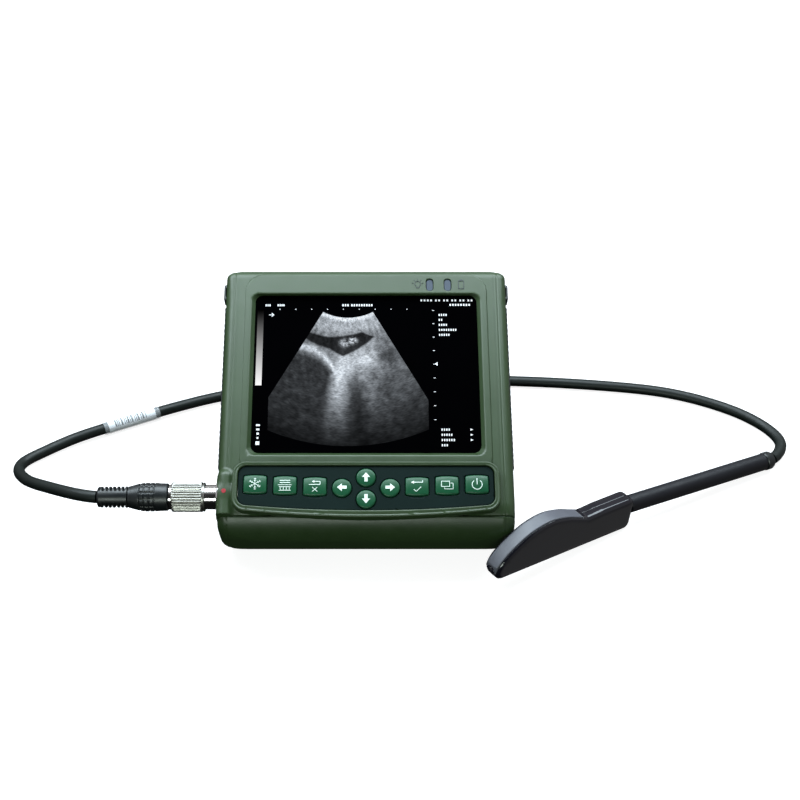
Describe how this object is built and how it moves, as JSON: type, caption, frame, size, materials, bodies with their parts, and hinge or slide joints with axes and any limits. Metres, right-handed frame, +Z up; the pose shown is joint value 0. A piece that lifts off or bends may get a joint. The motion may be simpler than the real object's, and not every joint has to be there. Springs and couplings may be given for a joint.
{
  "type": "veterinary ultrasound scanner",
  "caption": "Palm-size veterinary ultrasound scanner with recessed screen, keypad and fold-out rear stand, on a flexible lead with a half-leaf rectal probe and its stiff handle tube.",
  "frame": {"origin": "middle of the underside of the rubber foot bar, under the front bottom edge of the scanner", "axes": "+X to the reader's right, from the probe socket's side to the other; +Y away from the reader; +Z up. The scanner leans back by 30 degrees from lying flat, on its opened stand."},
  "size_m": [0.4288, 0.1801, 0.1041],
  "materials": {
    "case_green": "fine textured moulding",
    "panel_teal": "satin",
    "key_green": "gloss",
    "rubber": "matt",
    "cable_rubber": "satin",
    "probe_black": "polished",
    "lens_grey": "smooth",
    "window": "polished",
    "lcd_black": "matt",
    "chrome": "polished",
    "steel": "satin",
    "lamp": "clear",
    "board_green": "solder mask",
    "battery_blue": "shrink wrap",
    "label_clear": "clear sleeve over a white label"
  },
  "bodies": {
    "scanner": {"front_case": "case_green", "rear_case": "case_green", "case_screw_1": "steel", "case_screw_2": "steel", "case_screw_3": "steel", "case_screw_4": "steel", "left_grip": "rubber", "right_grip": "rubber", "left_strap_lug": "rubber", "right_strap_lug": "rubber", "rear_foot_1": "rubber", "rear_foot_2": "rubber", "rear_foot_3": "rubber", "rear_foot_4": "rubber", "foot_bar": "rubber", "stand_pin": "steel", "display_window": "window", "lcd_panel": "lcd_black", "lcd_bracket": "steel", "power_led_lens": "lamp", "battery_led_lens": "lamp", "main_board": "board_green", "probe_board": "board_green", "keypad_board": "board_green", "battery_pack": "battery_blue", "charge_socket": "steel", "keypad_plate": "panel_teal", "probe_socket": "chrome", "socket_nut": "steel", "plug_shell": "chrome", "plug_boot": "rubber", "strain_relief": "rubber", "cable": "cable_rubber", "cable_label": "label_clear", "probe_shell_left": "probe_black", "probe_shell_right": "probe_black", "acoustic_lens": "lens_grey", "transducer_array": "steel", "handle_tube": "probe_black", "tube_ferrule": "rubber"},
    "stand": {"stand_plate": "case_green", "stand_pad": "rubber"},
    "battery_door": {"battery_door": "case_green"},
    "battery_latch": {"battery_latch": "rubber"},
    "port_cover": {"port_cover": "rubber"},
    "plug_sleeve": {"plug_sleeve": "steel"},
    "key_freeze": {"key_freeze": "key_green"},
    "key_menu": {"key_menu": "key_green"},
    "key_escape": {"key_escape": "key_green"},
    "key_enter": {"key_enter": "key_green"},
    "key_mode": {"key_mode": "key_green"},
    "key_power": {"key_power": "key_green"},
    "key_left": {"key_left": "key_green"},
    "key_right": {"key_right": "key_green"},
    "key_up": {"key_up": "key_green"},
    "key_down": {"key_down": "key_green"}
  },
  "joints": [
    {"name": "key_freeze_press", "type": "slide", "parent": "scanner", "child": "key_freeze", "axis": [0, 0.5, -0.866], "range_m": [0, 0.0008], "stiffness_N_per_m": 1500},
    {"name": "key_menu_press", "type": "slide", "parent": "scanner", "child": "key_menu", "axis": [0, 0.5, -0.866], "range_m": [0, 0.0008], "stiffness_N_per_m": 1500},
    {"name": "key_escape_press", "type": "slide", "parent": "scanner", "child": "key_escape", "axis": [0, 0.5, -0.866], "range_m": [0, 0.0008], "stiffness_N_per_m": 1500},
    {"name": "key_enter_press", "type": "slide", "parent": "scanner", "child": "key_enter", "axis": [0, 0.5, -0.866], "range_m": [0, 0.0008], "stiffness_N_per_m": 1500},
    {"name": "key_mode_press", "type": "slide", "parent": "scanner", "child": "key_mode", "axis": [0, 0.5, -0.866], "range_m": [0, 0.0008], "stiffness_N_per_m": 1500},
    {"name": "key_power_press", "type": "slide", "parent": "scanner", "child": "key_power", "axis": [0, 0.5, -0.866], "range_m": [0, 0.0008], "stiffness_N_per_m": 1500},
    {"name": "key_left_press", "type": "slide", "parent": "scanner", "child": "key_left", "axis": [0, 0.5, -0.866], "range_m": [0, 0.0008], "stiffness_N_per_m": 1500},
    {"name": "key_right_press", "type": "slide", "parent": "scanner", "child": "key_right", "axis": [0, 0.5, -0.866], "range_m": [0, 0.0008], "stiffness_N_per_m": 1500},
    {"name": "key_up_press", "type": "slide", "parent": "scanner", "child": "key_up", "axis": [0, 0.5, -0.866], "range_m": [0, 0.0008], "stiffness_N_per_m": 1500},
    {"name": "key_down_press", "type": "slide", "parent": "scanner", "child": "key_down", "axis": [0, 0.5, -0.866], "range_m": [0, 0.0008], "stiffness_N_per_m": 1500},
    {"name": "sleeve_release", "type": "slide", "parent": "scanner", "child": "plug_sleeve", "axis": [-1, 0, 0], "range_m": [0, 0.0012], "stiffness_N_per_m": 2500},
    {"name": "stand_hinge", "type": "hinge", "parent": "scanner", "child": "stand", "pos_m": [0, 0.08606, 0.05044], "axis": [-1, 0, 0], "range_deg": [0, 83]},
    {"name": "battery_door_hinge", "type": "hinge", "parent": "scanner", "child": "battery_door", "pos_m": [0, 0.01023, 0.00539], "axis": [-1, 0, 0], "range_deg": [0, 90]},
    {"name": "battery_latch_slide", "type": "slide", "parent": "battery_door", "child": "battery_latch", "axis": [0, -0.866, -0.5], "range_m": [0, 0.003], "stiffness_N_per_m": 400},
    {"name": "port_cover_hinge", "type": "hinge", "parent": "scanner", "child": "port_cover", "pos_m": [0.04, 0.10348, 0.09006], "axis": [-1, 0, 0], "range_deg": [0, 90]}
  ]
}
